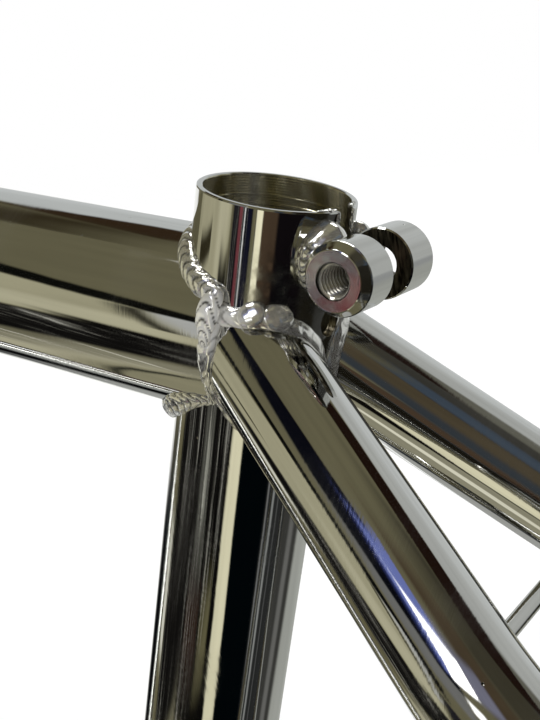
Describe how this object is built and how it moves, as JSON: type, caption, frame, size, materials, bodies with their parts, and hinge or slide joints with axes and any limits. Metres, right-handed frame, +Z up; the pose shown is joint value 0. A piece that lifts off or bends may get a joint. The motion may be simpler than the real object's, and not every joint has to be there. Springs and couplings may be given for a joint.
{
  "type": "bmx bicycle frame",
  "caption": "Chrome plated welded steel bicycle frame for small wheels, with a slotted seat collar, two welded clamp bosses and splayed seat stays.",
  "frame": {"origin": "centre of the bottom bracket shell", "axes": "+X forward to the head tube, +Y to the rider's left along the shell, +Z up as ridden"},
  "size_m": [0.8425, 0.1302, 0.4383],
  "materials": {
    "chrome": "polished chrome plate over drawn steel tube",
    "weld": "chrome plate over rippled weld metal"
  },
  "bodies": {
    "root": {"bottom_bracket_shell": "chrome", "chain_stay_bridge": "chrome", "chain_stay_left": "chrome", "chain_stay_right": "chrome", "clamp_boss_left": "chrome", "clamp_boss_right": "chrome", "down_tube": "chrome", "dropout_left": "chrome", "dropout_right": "chrome", "head_tube": "chrome", "seat_stay_bridge": "chrome", "seat_stay_left": "chrome", "seat_stay_right": "chrome", "seat_tube": "chrome", "top_tube": "chrome", "weld_chain_stay_bridge_left": "weld", "weld_chain_stay_bridge_right": "weld", "weld_chain_stay_left": "weld", "weld_chain_stay_right": "weld", "weld_chain_stay_tip_left": "weld", "weld_chain_stay_tip_right": "weld", "weld_clamp_boss_left": "weld", "weld_clamp_boss_right": "weld", "weld_down_tube_head_tube": "weld", "weld_down_tube_shell": "weld", "weld_seat_stay_bridge_left": "weld", "weld_seat_stay_bridge_right": "weld", "weld_seat_stay_left": "weld", "weld_seat_stay_right": "weld", "weld_seat_stay_tip_left": "weld", "weld_seat_stay_tip_right": "weld", "weld_seat_tube_shell": "weld", "weld_top_tube_head_tube": "weld", "weld_top_tube_seat_tube": "weld"}
  },
  "joints": []
}
